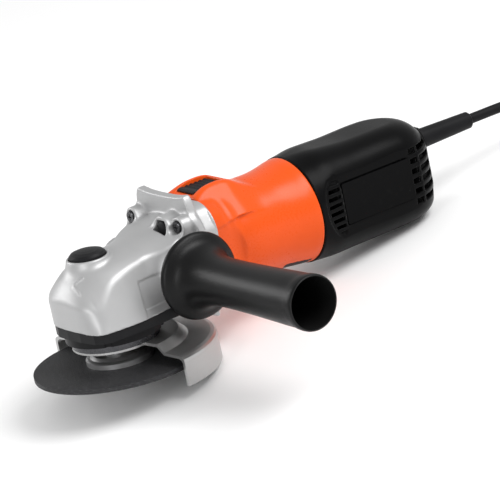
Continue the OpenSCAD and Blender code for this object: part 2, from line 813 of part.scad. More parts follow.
module tail_housing() {
    color([0.09, 0.09, 0.09])
    placed() difference() {
        tail_body(0);
        tail_body(-wall);
        on_motor(housing_rear - 5) cylinder(h = 8, r = 30);
        // air slots round both rear corners
        for (i = [-1, 1], k = [0 : 4])
            translate([238, i * 32 - 8, 33 + k * 7]) cube([14, 16, 3.2]);
        // louvres on both sides
        for (i = [-1, 1], k = [0 : 6])
            translate([158, i * 32 - 8, 39.5 + k * 4.4]) cube([11.5, 16, 2]);
        translate([tail_end - 12, 0, relief_z]) rotate([0, 90, 0]) cylinder(h = 20, r = 8.5);
        translate([tail_end - 10.1, 0, relief_z]) rotate([0, 90, 0]) cylinder(h = 5.2, r = 10.1);
        on_motor(housing_rear) screw_circle() cylinder(h = 10, r = 1.5);
        plate_places(5);
    }
}

module tail_screws() {
    color([0.2, 0.2, 0.21])
    placed() on_motor(148) screw_circle() cylinder(h = 11, r = 1.5);
}

// Plates on both sides, each let into its own shallow recess
module plate_places(t) {
    for (i = [0, 1]) mirror([0, i, 0])
        translate([200, 0.9 - tail_half_w, 55]) rotate([90, 0, 0]) linear_extrude(t)
            rounded_rect(28, 14, 1.2);
}

module side_plates() {
    color([0.07, 0.07, 0.07])
    placed() plate_places(1.2);
}

module cord_clamp() {
    color([0.13, 0.13, 0.13])
    placed() difference() {
        translate([236, -12, relief_z - 7]) cube([8, 24, 3.4]);
        translate([240, 0, relief_z]) rotate([0, 90, 0]) cylinder(h = 12, r = cord_r + 0.1, center = true);
        for (i = [-1, 1]) translate([240, i * 9, relief_z - 8]) cylinder(h = 8, r = 1.5);
    }
}

module clamp_screws() {
    color([0.2, 0.2, 0.21])
    placed() for (i = [-1, 1]) translate([240, i * 9, relief_z - 9]) {
        cylinder(h = 5.4, r = 1.5);
        cylinder(h = 2, r = 2.8);
    }
}

module strain_relief() {
    start = tail_end - 10;
    color([0.08, 0.08, 0.08])
    placed() translate([start, 0, relief_z]) rotate([0, 90, 0]) rotate_extrude()
        polygon([[cord_r + run_gap, 0], [10, 0], [10, 5], [8.4, 5], [8.4, 11], [6.8, 12], [6.5, 24],
            [relief_tip_r + 0.2, relief_end - start - 1], [relief_tip_r - 0.6, relief_end - start],
            [cord_r + run_gap, relief_end - start]]);
}

// ---- cord, drawn on the bench itself and not in the tool's frame ---------

// Points that the cord passes from its clamp, through the strain relief, to the coil
lead_points = concat([for (d = [-64, -32, 0, 14, 28]) relief_out + d * relief_dir],
    [for (p = [[226, 30.2], [240, 25.6], [254, 19.6], [268, 13.6], [282, 8.6], [294, 5.6], [306, 4.3]])
        [p[0], origin_y, p[1]]]);
// Points from the top of the coil to the plug
end_points = [for (p = [[306, 25.3], [292, 25.3], [279, 24.6], [267, 21.6], [256, 16.6],
    [246, 13.4], [240, 13], [236, 13]])
    [p[0], coil_centre[1] - coil_turns_r, p[1]]];

function unit(v) = v / norm(v);
function tangent(p, i) = unit(p[min(i + 1, len(p) - 1)] - p[max(i - 1, 0)]);
// Ring of points round point i, its first axis level with the bench
function ring_at(p, i, r, sides) = let(t = tangent(p, i), side = unit(cross([0, 0, 1], t)),
    up = cross(t, side)) [for (k = [0 : sides - 1])
    p[i] + r * cos(k * 360 / sides) * side + r * sin(k * 360 / sides) * up];

module tube(p, r, sides) {
    n = len(p);
    polyhedron(points = [for (i = [0 : n - 1]) each ring_at(p, i, r, sides)],
        faces = concat([[for (k = [0 : sides - 1]) k]],
            [[for (k = [sides - 1 : -1 : 0]) (n - 1) * sides + k]],
            [for (i = [0 : n - 2], k = [0 : sides - 1]) let(j = (k + 1) % sides)
                [i * sides + k, (i + 1) * sides + k, (i + 1) * sides + j, i * sides + j]]));
}

module cord() {
    color([0.07, 0.07, 0.07]) tube(lead_points, cord_r, 10);
}

module cord_end() {
    color([0.07, 0.07, 0.07]) tube(end_points, cord_r, 10);
}

// Outline of the wound turns, two side by side and four high
module coil_section(grow) {
    translate([coil_turns_r - cord_d - cord_r - grow, tie_t - grow])
        square([2 * cord_d + 2 * grow, 4 * cord_d + 2 * grow]);
}

module cord_coil() {
    color([0.07, 0.07, 0.07]) translate(coil_centre) rotate_extrude() coil_section(0);
}

module cord_tie() {
    color([0.15, 0.15, 0.15]) translate(coil_centre) intersection() {
        rotate_extrude() difference() {
            coil_section(tie_t);
            coil_section(0);
        }
        translate([20, -5, 0]) cube([50, 10, 60]);
    }
}

module on_plug() {
    translate([end_points[7][0], end_points[7][1], end_points[7][2]]) rotate([0, -90, 0]) children();
}

module plug_body() {
    color([0.08, 0.08, 0.08]) on_plug() {
        rotate_extrude() polygon([[0, 0], [4.9, 0], [6.5, 16], [0, 16]]);
        // flat body with rounded sides, widest at the face
        intersection() {
            translate([-13, 0, 0]) rotate([0, 90, 0]) linear_extrude(26)
                polygon([[-14, -7], [-20, -11], [-30, -14], [-44, -18], [-48, -18.2], [-48, 18.2],
                    [-44, 18], [-30, 14], [-20, 11], [-14, 7]]);
            translate([0, 0, 10]) linear_extrude(40) rounded_rect(13, 18.2, 8);
        }
    }
}

module plug_pins() {
    color([0.8, 0.8, 0.8]) on_plug() for (i = [-1, 1])
        translate([0, i * 9.5, 48]) {
            cylinder(h = 18, r = 2.4);
            translate([0, 0, 17]) cylinder(h = 2, r = 1.8);
        }
}

gear_housing();
bearing_cover();
cover_screws();
head_screws();
guard_hood();
guard_band();
band_screw();
backing_flange();
cutting_wheel();
clamp_nut();
spindle();
crown_gear();
crown_key();
spindle_bearing_outer();
spindle_bearing_inner();
spindle_bush();
felt_seal();
lock_button();
lock_spring();
handle_grip();
handle_stud();
motor_housing();
bearing_plate();
armature_shaft();
pinion();
pinion_nut();
front_bearing_outer();
front_bearing_inner();
fan();
air_baffle();
armature_core();
armature_windings();
commutator();
rear_bearing_outer();
rear_bearing_inner();
bearing_boot();
stator_core();
field_coils();
brush_holders();
carbon_brushes();
brush_springs();
slide_button();
switch_rod();
switch_unit();
tail_housing();
tail_screws();
side_plates();
cord_clamp();
clamp_screws();
strain_relief();
cord();
cord_end();
cord_coil();
cord_tie();
plug_body();
plug_pins();
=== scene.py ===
import math

import bpy
import numpy as np
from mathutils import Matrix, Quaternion, Vector


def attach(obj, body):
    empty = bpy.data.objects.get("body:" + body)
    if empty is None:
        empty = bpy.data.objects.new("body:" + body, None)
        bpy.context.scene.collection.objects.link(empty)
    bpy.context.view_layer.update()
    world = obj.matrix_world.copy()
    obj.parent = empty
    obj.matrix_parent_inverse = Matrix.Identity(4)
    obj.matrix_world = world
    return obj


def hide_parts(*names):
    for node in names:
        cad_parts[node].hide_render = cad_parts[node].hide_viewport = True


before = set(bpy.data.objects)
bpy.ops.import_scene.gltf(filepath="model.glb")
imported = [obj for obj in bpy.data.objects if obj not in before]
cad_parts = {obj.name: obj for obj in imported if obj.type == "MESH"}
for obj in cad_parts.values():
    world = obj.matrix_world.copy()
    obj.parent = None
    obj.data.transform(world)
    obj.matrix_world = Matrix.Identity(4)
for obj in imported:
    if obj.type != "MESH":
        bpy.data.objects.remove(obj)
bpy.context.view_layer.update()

# ---- Bench, lights and camera ------------------------------------------------
# The tool stands on a wide pale bench top under soft light: a big panel at the right front,
# a tall one at the left front, one behind on the left, and a pale room all round. A long
# lens looks down from the head's end on the handle's side, tilted over.
scene = bpy.context.scene
scene.view_settings.view_transform = "Standard"

CAMERA_AIM = Vector((-0.0307, 0.0199, 0.0556))
CAMERA_DISTANCE = 2.9143
CAMERA_BEARING = math.radians(-119.5285)
CAMERA_HEIGHT = math.radians(21.2809)
CAMERA_TILT = math.radians(-19.7891)

camera = bpy.data.objects.new("camera", bpy.data.cameras.new("camera"))
camera.data.lens = 324
camera.data.sensor_width = 36
camera.data.clip_end = 20
from_aim = Vector((math.cos(CAMERA_HEIGHT) * math.cos(CAMERA_BEARING),
                   math.cos(CAMERA_HEIGHT) * math.sin(CAMERA_BEARING), math.sin(CAMERA_HEIGHT)))
level_view = (-from_aim).to_track_quat("-Z", "Y")
camera.location = CAMERA_AIM + CAMERA_DISTANCE * from_aim
camera.rotation_euler = (level_view @ Quaternion((0, 0, 1), CAMERA_TILT)).to_euler()
scene.collection.objects.link(camera)
scene.camera = camera


def soft_light(name, place, aim, width, height, watts):
    lamp = bpy.data.lights.new(name, "AREA")
    lamp.shape = "RECTANGLE"
    lamp.size = width
    lamp.size_y = height
    lamp.energy = watts
    light = bpy.data.objects.new(name, lamp)
    light.location = place
    light.rotation_euler = (Vector(aim) - Vector(place)).to_track_quat("-Z", "Y").to_euler()
    scene.collection.objects.link(light)


soft_light("panel_right", (0.6, -0.8, 1.2), (0, 0, 0.05), 1.2, 0.7, 20)
soft_light("panel_left", (-1.5, -0.7, 0.7), (-0.05, 0, 0.06), 0.5, 1.0, 8)
soft_light("panel_back", (-0.75, 1.35, 0.75), (-0.02, -0.05, 0.06), 0.5, 0.7, 7)

room = bpy.data.worlds.new("room")
room.use_nodes = True
room.node_tree.nodes["Background"].inputs["Color"].default_value = (1, 1, 1, 1)
room.node_tree.nodes["Background"].inputs["Strength"].default_value = 0.6
scene.world = room


def add_mesh(name, points, faces, smooth=True):
    mesh = bpy.data.meshes.new(name)
    mesh.from_pydata([tuple(p) for p in points], [], [tuple(f) for f in faces])
    mesh.validate()
    mesh.polygons.foreach_set("use_smooth", [smooth] * len(mesh.polygons))
    piece = bpy.data.objects.new(name, mesh)
    scene.collection.objects.link(piece)
    return piece


class Shade:
    """A value, colour or vector in a finish. Sums written with it add their nodes."""

    def __init__(self, tree, socket=None):
        self.tree = tree
        self.socket = socket

    def make(self, kind, settings=None, sockets=None, out=0):
        step = self.tree.nodes.new("ShaderNode" + kind)
        for name, value in (settings or {}).items():
            setattr(step, name, value)
        for name, value in (sockets or {}).items():
            if isinstance(value, Shade):
                self.tree.links.new(value.socket, step.inputs[name])
            elif isinstance(value, tuple) and len(value) == 3 and step.inputs[name].type == "RGBA":
                step.inputs[name].default_value = (*value, 1)
            else:
                step.inputs[name].default_value = value
        return Shade(self.tree, step.outputs[out] if len(step.outputs) else None)

    def sum(self, operation, *values):
        return self.make("Math", {"operation": operation}, dict(enumerate(values)))

    def __add__(self, other):
        return self.sum("ADD", self, other)

    def __mul__(self, other):
        return self.sum("MULTIPLY", self, other)

    __radd__ = __add__
    __rmul__ = __mul__

    def step_up(self, low, high):
        return self.make("MapRange", {"interpolation_type": "SMOOTHSTEP"},
                         {"Value": self, "From Min": low, "From Max": high})

    def grain(self, per_metre, detail=2.0, rough=0.5, stretch=(1, 1, 1)):
        place = self.make("VectorMath", {"operation": "MULTIPLY"}, {0: self, 1: stretch})
        return self.make("TexNoise", None, {"Vector": place, "Scale": per_metre,
                                            "Detail": detail, "Roughness": rough})

    def blend(self, first, second):
        return self.make("Mix", {"data_type": "RGBA"}, {0: self, 6: first, 7: second}, out=2)

    def relief(self, height_m, strength=1.0, under=None):
        sockets = {"Height": self, "Distance": height_m, "Strength": strength}
        if under is not None:
            sockets["Normal"] = under
        return self.make("Bump", None, sockets)


def finish(name, recipe):
    """A node material: recipe(place) gives the surface's sockets from the place on the piece."""
    material = bpy.data.materials.new(name)
    material.use_nodes = True
    tree = material.node_tree
    tree.nodes.clear()
    start = Shade(tree)
    place = start.make("TexCoord", out=3)
    surface = start.make("BsdfPrincipled", None, recipe(place))
    start.make("OutputMaterial", None, {"Surface": surface})
    return material


def paper_white(place):
    shade = place.grain(3, 3).blend((0.94, 0.94, 0.94), (0.96, 0.96, 0.96))
    return {"Base Color": shade, "Roughness": 0.75, "Normal": place.grain(900, 2).relief(0.00002)}


BENCH_HALF = 12.0
BENCH_DROP = 0.0004
bench_corners = [(x * BENCH_HALF, y * BENCH_HALF, -BENCH_DROP)
                 for x, y in ((-1, -1), (1, -1), (1, 1), (-1, 1))]
bench = add_mesh("bench", bench_corners, [(0, 1, 2, 3)], smooth=False)
bench.data.materials.append(finish("bench_white", paper_white))

# ---- Mains cord ----------------------------------------------------------------
# Seven-millimetre rubber cord, 2.2 m of it: out through the strain relief, down to the
# bench, then seven and a half turns in a tied coil behind the tool and off to the plug.

# the tool leans back on the rear of its guard and the underside of its tail
LEAN = math.atan(28.4 / 180)
TOOL_ORIGIN = np.array((-128.3813, 56.25, 19.0203))
TO_BENCH = np.array(((math.cos(LEAN), 0, math.sin(LEAN)), (0, 1, 0),
                     (-math.sin(LEAN), 0, math.cos(LEAN))))


def seat(points):
    """Points in the tool's own frame, in millimetres, to metres on the bench."""
    return (np.asarray(points, float) @ TO_BENCH.T + TOOL_ORIGIN) / 1000


CORD_R = 3.5
CORD_EXIT_X = 306
RELIEF_Z = 66.9
COIL_OUTER = 45.5
COIL_INNER = 38.5
COIL_X = 306
COIL_Y = TOOL_ORIGIN[1] - COIL_OUTER
COIL_Z = 4.3
COIL_TURNS = 7.5
POINTS_A_TURN = 24

route = [seat((CORD_EXIT_X + d, 0, RELIEF_Z)) * 1000 for d in (-20, -8, 4, 14, 28)]
for x, z in ((226, 30.2), (240, 25.6), (254, 19.6), (268, 13.6), (282, 8.6), (294, 5.6)):
    route.append((x, TOOL_ORIGIN[1], z))
# two turns to a layer, one outside and one inside, then up to the next layer
for n in range(int(COIL_TURNS * POINTS_A_TURN) + 1):
    turn = n / POINTS_A_TURN
    whole = math.floor(turn + 0.5)
    ease = min(max((turn - whole) / 0.2 + 0.5, 0), 1)
    ease = ease * ease * (3 - 2 * ease)
    track = [(int(k + 1) // 2 % 2, max(int(k), 0) // 2) for k in (whole - 1, whole)]
    if whole < 1:
        track[0] = track[1]
    inward = track[0][0] + (track[1][0] - track[0][0]) * ease
    level = track[0][1] + (track[1][1] - track[0][1]) * ease
    radius = COIL_OUTER + (COIL_INNER - COIL_OUTER) * inward
    angle = math.pi / 2 - 2 * math.pi * turn
    route.append((COIL_X + radius * math.cos(angle), COIL_Y + radius * math.sin(angle),
                  COIL_Z + 2 * CORD_R * level))
for x, z in ((299, 25.3), (292, 25.3), (285, 25.1), (279, 24.3), (273, 22.9), (267, 20.9),
             (261, 18.7), (256, 16.6), (251, 14.7), (246, 13.4), (240, 13), (235, 13)):
    route.append((x, COIL_Y - COIL_OUTER, z))

cord_line = bpy.data.curves.new("mains_cord", "CURVE")
cord_line.dimensions = "3D"
spline = cord_line.splines.new("NURBS")
spline.points.add(len(route) - 1)
for point, spot in zip(spline.points, route):
    point.co = (spot[0] / 1000, spot[1] / 1000, spot[2] / 1000, 1)
spline.use_endpoint_u = True
spline.order_u = 4
spline.resolution_u = 4
cord_line.bevel_depth = CORD_R / 1000
cord_line.bevel_resolution = 5
cord_line.use_fill_caps = True
mains_cord = bpy.data.objects.new("mains_cord", cord_line)
scene.collection.objects.link(mains_cord)


def black_rubber(place):
    mottle = place.grain(60, 4)
    return {
        "Base Color": mottle.blend((0.007, 0.007, 0.008), (0.014, 0.014, 0.015)),
        "Roughness": place.grain(400, 3) * 0.14 + 0.4,
        "Specular IOR Level": 0.1,
        "Normal": place.grain(2500, 2).relief(0.00006, 0.5),
    }


rubber = finish("cord_rubber", black_rubber)
cord_line.materials.append(rubber)


def dress(node, material, edge_mm=0.0):
    """A CAD node that keeps its shape: its finish, and its edges broken by a small bevel."""
    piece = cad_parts[node]
    piece.data.materials.clear()
    piece.data.materials.append(material)
    for polygon in piece.data.polygons:
        polygon.material_index = 0
    if edge_mm:
        edge = piece.modifiers.new("edge", "BEVEL")
        edge.width = edge_mm / 1000
        edge.segments = 2
        edge.limit_method = "ANGLE"
        edge.angle_limit = math.radians(35)
        edge.harden_normals = True


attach(mains_cord, "tool")
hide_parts("cord", "cord_end", "cord_coil")
dress("strain_relief", rubber, 0.3)
dress("cord_tie", rubber, 0.1)
dress("plug_body", rubber, 0.8)

# ---- Gear head -------------------------------------------------------------------
# Die-cast aluminium, left satin. A blunt nose over the wheel, a raised collar round the
# lock button, a waist, then a tall two-horned brow in front of the square mounting flange.
AXIS_Z = 53.4
HEAD_FOOT_Z = 34
FLANGE_X = 63
LOCK_X = -8
LOCK_PIN_X = -11
HANDLE_X = 39.8
SCREW_Y, SCREW_Z = 27, 27.5
POCKET_Y, POCKET_Z, POCKET_R = 14.5, 79, 5.9


def follow(along, stations, values):
    """A smooth line through values given at stations."""
    s = np.array(stations, float)
    v = np.array(values, float)
    slope = np.gradient(v, s)
    t = np.clip(along, s[0], s[-1])
    k = np.clip(np.searchsorted(s, t) - 1, 0, len(s) - 2)
    gap = s[k + 1] - s[k]
    u = (t - s[k]) / gap
    return ((2 * u**3 - 3 * u**2 + 1) * v[k] + (u**3 - 2 * u**2 + u) * gap * slope[k]
            + (3 * u**2 - 2 * u**3) * v[k + 1] + (u**3 - u**2) * gap * slope[k + 1])


def weld(a, b, fillet):
    """Two bodies as one, with a fillet in the corner where they meet."""
    near = np.clip(0.5 + 0.5 * (b - a) / fillet, 0, 1)
    return b + (a - b) * near - fillet * near * (1 - near)


def trim(a, b, edge):
    """What two bodies share, with the edge between them rounded."""
    return -weld(-a, -b, edge)


def ramp_up(value, width):
    step = np.clip(value / width + 0.5, 0, 1)
    return step * step * (3 - 2 * step)


def rounded_section(across, up, half_w, half_h, corner):
    """How far a point lies outside a rounded rectangle."""
    p = np.abs(across) - (half_w - corner)
    q = np.abs(up) - (half_h - corner)
    return np.hypot(np.maximum(p, 0), np.maximum(q, 0)) + np.minimum(np.maximum(p, q), 0) - corner


def near_segment(u, v, start, end):
    """How far a point lies from a straight stroke."""
    du, dv = end[0] - start[0], end[1] - start[1]
    t = np.clip(((u - start[0]) * du + (v - start[1]) * dv) / (du * du + dv * dv), 0, 1)
    return np.hypot(u - start[0] - t * du, v - start[1] - t * dv)


def cast(name, body, low, high, cell):
    """The skin of a body given as distances from its surface, in the tool's millimetres."""
    cell = np.broadcast_to(np.array(cell, float), (3,))
    lines = [np.arange(low[i], high[i] + cell[i], cell[i]) for i in range(3)]
    x, y, z = np.meshgrid(*lines, indexing="ij")
    field = body(x, y, z)
    inside = field < 0
    corners = [(i, j, k) for i in (0, 1) for j in (0, 1) for k in (0, 1)]
    size = [n - 1 for n in inside.shape]
    count = np.zeros(size, int)
    for i, j, k in corners:
        count += inside[i:i + size[0], j:j + size[1], k:k + size[2]]
    active = (count > 0) & (count < 8)
    number = np.full(size, -1)
    number[active] = np.arange(active.sum())
    # one point in every cell that the skin passes through, in the middle of its crossings
    cells = np.argwhere(active)
    total = np.zeros((len(cells), 3))
    hits = np.zeros(len(cells))
    for a in corners:
        for axis in range(3):
            if a[axis]:
                continue
            b = tuple(c + (n == axis) for n, c in enumerate(a))
            fa = field[tuple((cells + a).T)]
            fb = field[tuple((cells + b).T)]
            cut = (fa < 0) != (fb < 0)
            share = np.where(cut, fa / np.where(cut, fa - fb, 1), 0)
            spot = np.array(a, float) + share[:, None] * np.eye(3)[axis]
            total += np.where(cut[:, None], spot, 0)
            hits += cut
    points = np.array(low) + (cells + total / hits[:, None]) * cell
    # a face across every grid edge that the skin cuts
    faces = []
    for axis in range(3):
        b, c = (axis + 1) % 3, (axis + 2) % 3
        here = [slice(1, -1)] * 3
        there = list(here)
        here[axis] = slice(0, -1)
        there[axis] = slice(1, None)
        first = inside[tuple(here)]
        second = inside[tuple(there)]
        for turned, edges in ((False, first & ~second), (True, ~first & second)):
            at = np.argwhere(edges)
            at[:, b] += 1
            at[:, c] += 1
            ring = []
            for db, dc in ((-1, -1), (0, -1), (0, 0), (-1, 0)):
                spot = at.copy()
                spot[:, b] += db
                spot[:, c] += dc
                ring.append(number[tuple(spot.T)])
            quad = np.stack(ring, 1)
            faces.append(quad[:, ::-1] if turned else quad)
    # two steps bring the points onto the skin itself
    for _ in range(2):
        reach = 0.04
        value = body(*points.T)
        slope = np.stack([body(*(points + reach * np.eye(3)[i]).T) - value for i in range(3)], 1) / reach
        move = value[:, None] * slope / np.maximum((slope**2).sum(1), 0.05)[:, None]
        points = points - np.clip(move, -0.4 * cell, 0.4 * cell)
    return add_mesh(name, seat(points), np.concatenate(faces).tolist())


def gear_head_body(x, y, z):
    a = np.abs(y)
    high = z - HEAD_FOOT_Z
    # the plan: sides that lean inward and a blunt nose, rounder at its far corner
    foot = follow(x, (-36, -29, -18, -3, 12, 24, 40, 56, 70),
                  (33.8, 35.4, 37.4, 38.4, 37.2, 35.4, 35.2, 36.0, 36.4))
    half = foot - (0.34 - 0.25 * ramp_up(x - 28, 24)) * high
    # the flat cast pad low on each side, and the strip under it
    pad = ramp_up(x - 4.2 - 0.13 * high, 0.9) * ramp_up(57 - z, 1.2) * ramp_up(30 - x, 2)
    half = half - pad * (0.45 + 0.55 * ramp_up(z - 39.4, 0.9))
    side = (a - half) / 1.05
    rise = np.clip(high / 19, 0, 1.2)
    bulge = np.where(y < 0, (1.3 + 4.4 * rise) * (a / 27) ** 5, (7.5 + 2 * rise) * (a / 27) ** 3)
    nose = (-34.4 - 0.06 * high + bulge - x) / (1 + 0.5 * np.minimum(a / 27, 1.15) ** 4)
    plan = trim(side, nose, 2.4)
    # the crowned top between the two side creases
    crown = follow(x, (-37, -33.5, -27, -18, -6, 8, 22, 34, 46, 54),
                   (51, 57, 65.4, 72.2, 74.5, 75, 75.6, 78.2, 82, 84.5))
    crease = follow(x, (-36, -30, -26.5, -23, -20, -15.6, -10.4, -3, 4.4, 18, 28, 34, 41, 50, 56),
                    (39, 47, 51.5, 54.5, 57, 60.3, 63.2, 65.3, 66.4, 67, 69.5, 72.5, 75.5, 77.5, 78))
    crease = np.where((y < 0) & (x < -26.5), 51.5 + 0.55 * (x + 26.5), crease)
    top = crease + (crown - crease) * (1 - np.minimum(a / 28, 1.4) ** np.where(y < 0, 2.3, 1.9))
    # the cast arrow on the nose
    arrow = np.minimum(near_segment(x, y, (-22.5, -13), (-28, -9)),
                       near_segment(x, y, (-28, -9), (-29.5, -17)))
    top = top + 0.9 * ramp_up(0.7 - arrow, 0.8)
    body = trim(plan, (z - top) / 1.35, 1.6)
    body = np.maximum(body, np.interp(x, (-40, 36, 46, 56, 70), (HEAD_FOOT_Z, HEAD_FOOT_Z, 23, 18, 17)) - z)
    body = np.maximum(body, x - 58)
    # rounded square flange that the motor housing is screwed to
    flange = trim(rounded_section(y, z - AXIS_Z, 36.4, 36.6, 19), np.abs(x - FLANGE_X) - 7, 0.8)
    body = weld(body, flange, 3)
    # screw bosses, the near upper one run together with the pocket beside it
    lift = np.abs(z - AXIS_Z)
    boss = trim(np.hypot(a - SCREW_Y, lift - SCREW_Z) - 6.2, np.abs(x - 52) - 5.6, 1)
    pocket_boss = trim(np.hypot(y + POCKET_Y, z - POCKET_Z) - 8.8, np.abs(x - 49.8) - 7.8, 1)
    body = weld(body, weld(boss, pocket_boss, 4), 5)
    # brow: a plate across, dipped in the middle, with a horn at each side
    brow_top = np.where(a < 25, 96.7 + 1.8 * (a / 25) ** 3, 98.5 - 0.3 * (a - 25) ** 2)
    brow_side = a - (28.6 + 0.17 * (98 - z))
    brow = trim(trim(brow_side, (z - brow_top) / 1.1, 2.4), np.abs(x - 57.4) - 3.1, 1.4)
    brow = np.maximum(brow, 70 - z)
    body = weld(body, brow, 1.8)
    # notch between the brow and the flange at each shoulder
    notch = np.maximum(np.abs(x - 64.8) - 3.9, 0.86 * (31.5 - a) + 0.5 * (84 - z) - 1)
    notch = np.maximum(notch, 24 - a)
    body = -weld(-body, notch, 1.2)
    # handle boss on each side
    handle_boss = np.maximum(np.hypot(x - HANDLE_X, z - AXIS_Z) - 13, np.abs(a - 36) - 7)
    body = weld(body, handle_boss, 5)
    # collar round the lock button
    collar = trim((np.hypot(x - LOCK_X, y) - 14.4 - 0.3 * np.maximum(75 - z, 0)) / 1.05, z - 76, 1.2)
    body = weld(body, np.maximum(collar, 64 - z), 2)
    # bored or cored out: lock button, its pin and spring, crown gear, spindle bush, pinion,
    # front bearing, the open end for the motor, the handle holes and the four head screws
    from_axis = np.hypot(y, z - AXIS_Z)
    for core in (
        np.maximum(np.hypot(x - LOCK_X, y) - 12.6, 71.7 - z),
        np.maximum(np.hypot(x - LOCK_PIN_X, y) - 5, np.abs(z - 70) - 4.5),
        np.maximum(np.hypot(x, y) - 26.8, np.abs(z - 45) - 16.2),
        np.maximum(np.hypot(x, y) - 6.3, np.abs(z - 60) - 7.2),
        np.maximum(from_axis - 11.4, np.abs(x - 32) - 24),
        np.maximum(from_axis - 13.3, np.abs(x - 60) - 16.2),
        np.maximum(from_axis - 31.2, 55.8 - x),
        np.maximum(np.hypot(x - HANDLE_X, z - AXIS_Z) - 4.3, 24 - a),
        np.maximum(np.hypot(a - SCREW_Y, lift - SCREW_Z) - 4.2, np.abs(x - 38) - 10),
    ):
        body = -weld(-body, core, 0.5)
    # the five-sided pocket
    pocket = np.maximum.reduce([(y + POCKET_Y) * math.cos(t) + (z - POCKET_Z) * math.sin(t) - POCKET_R
                                for t in np.radians((18, 90, 162, 234, 306))])
    pocket = np.maximum(pocket, np.abs(x - 44) - 5)
    return -weld(-body, pocket, 1.0)


def die_cast(place):
    broad = place.grain(45, 4)
    fine = place.grain(900, 3, 0.6)
    # painted highlight: convex edges are painted paler than the rest of the casting
    edge_highlight = place.make("NewGeometry", out=7).step_up(0.53, 0.62)
    colour = broad.blend((0.40, 0.402, 0.405), (0.48, 0.48, 0.482))
    return {
        "Base Color": (edge_highlight * 0.6).blend(colour, (0.66, 0.66, 0.66)),
        "Metallic": 0.55,
        "Roughness": fine * 0.12 + broad * 0.08 + 0.36,
        "Normal": fine.relief(0.00005, 0.35, place.grain(260, 2).relief(0.00012, 0.25)),
    }


def cover_black(place):
    return {
        "Base Color": place.grain(80, 4).blend((0.008, 0.008, 0.009), (0.016, 0.016, 0.017)),
        "Roughness": place.grain(700, 3) * 0.15 + 0.36,
        "Specular IOR Level": 0.12,
        "Normal": place.grain(2200, 2).relief(0.00006, 0.5),
    }


alloy = finish("cast_alloy", die_cast)
black_moulding = finish("cover_black", cover_black)
gear_head = cast("gear_head", gear_head_body, (-40, -46, 15), (73, 46, 102), 0.8)
gear_head.data.materials.append(alloy)
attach(gear_head, "tool")
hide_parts("gear_housing")

# ---- Pocket plug -------------------------------------------------------------------
# A black plastic plug pressed into the cast pocket beside the near upper screw: its top is
# slightly crowned and sits a little under the rim.
PLUG_FACE_X = 41.5
PLUG_AROUND = 10
PLUG_STEP = 2 * math.pi / PLUG_AROUND
# its corners stand a little outside the pocket's wall
PLUG_GROW = 1 / math.cos(0.18)
# how far each ring of the plug reaches from its middle, and how deep it lies
PLUG_RINGS = ((2.4, 41.6), (4.4, 41.8), (5.6, 42.4), (POCKET_R, 47.4))

points = [(PLUG_FACE_X, -POCKET_Y, POCKET_Z)]
for reach, depth in PLUG_RINGS:
    for k in range(PLUG_AROUND):
        t = (k + 0.5) * PLUG_STEP
        points.append((depth, reach * PLUG_GROW * math.cos(t) - POCKET_Y,
                       POCKET_Z + reach * PLUG_GROW * math.sin(t)))
faces = [(0, 1 + (k + 1) % PLUG_AROUND, 1 + k) for k in range(PLUG_AROUND)]
for ring in range(len(PLUG_RINGS) - 1):
    inner = 1 + ring * PLUG_AROUND
    outer = inner + PLUG_AROUND
    for k in range(PLUG_AROUND):
        n = (k + 1) % PLUG_AROUND
        faces.append((inner + n, outer + n, outer + k, inner + k))
faces.append(range(len(points) - PLUG_AROUND, len(points)))
plug = add_mesh("pocket_plug", seat(points), faces)
plug.data.materials.append(black_moulding)
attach(plug, "tool")

# ---- Bearing cover, screws and lock button --------------------------------------------
# Black cover plate under the head with its neck for the guard, the blackened pan-head
# screws, and the domed lock button of fine-grained black plastic.
def blackened_steel(place):
    return {
        "Base Color": place.grain(300, 3).blend((0.045, 0.045, 0.05), (0.10, 0.10, 0.105)),
        "Metallic": 0.85,
        "Roughness": place.grain(900, 2) * 0.15 + 0.2,
    }


screw_black = finish("screw_black", blackened_steel)
dress("bearing_cover", black_moulding, 0.6)
for node in ("cover_screws", "head_screws", "band_screw", "tail_screws", "clamp_screws"):
    dress(node, screw_black, 0.35)
dress("lock_button", black_moulding, 0.4)

# ---- Guard, flange, nut and spindle ---------------------------------------------------
# Pressed steel guard, bright and satin with press marks running round it, held by a black
# band and its screw; the turned backing flange, the pin-spanner nut and the spindle.
def pressed_steel(place):
    turned = place.grain(120, 3, 0.5, (1, 1, 9))
    marks = place.grain(35, 5)
    return {
        "Base Color": marks.blend((0.42, 0.42, 0.42), (0.52, 0.52, 0.515)),
        "Metallic": 0.9,
        "Roughness": turned * 0.14 + marks * 0.08 + 0.24,
        "Normal": turned.relief(0.00004, 0.3),
    }


def turned_steel(place):
    lathe = place.grain(160, 2, 0.5, (1, 1, 25))
    return {
        "Base Color": lathe.blend((0.40, 0.40, 0.41), (0.56, 0.56, 0.56)),
        "Metallic": 0.9,
        "Roughness": lathe * 0.2 + 0.28,
        "Normal": lathe.relief(0.00003, 0.3),
    }


sheet_steel = finish("guard_steel", pressed_steel)
machined = finish("machined_steel", turned_steel)
dress("guard_hood", sheet_steel, 0.4)
dress("guard_band", screw_black, 0.3)
for node in ("backing_flange", "clamp_nut", "spindle"):
    dress(node, machined, 0.4)
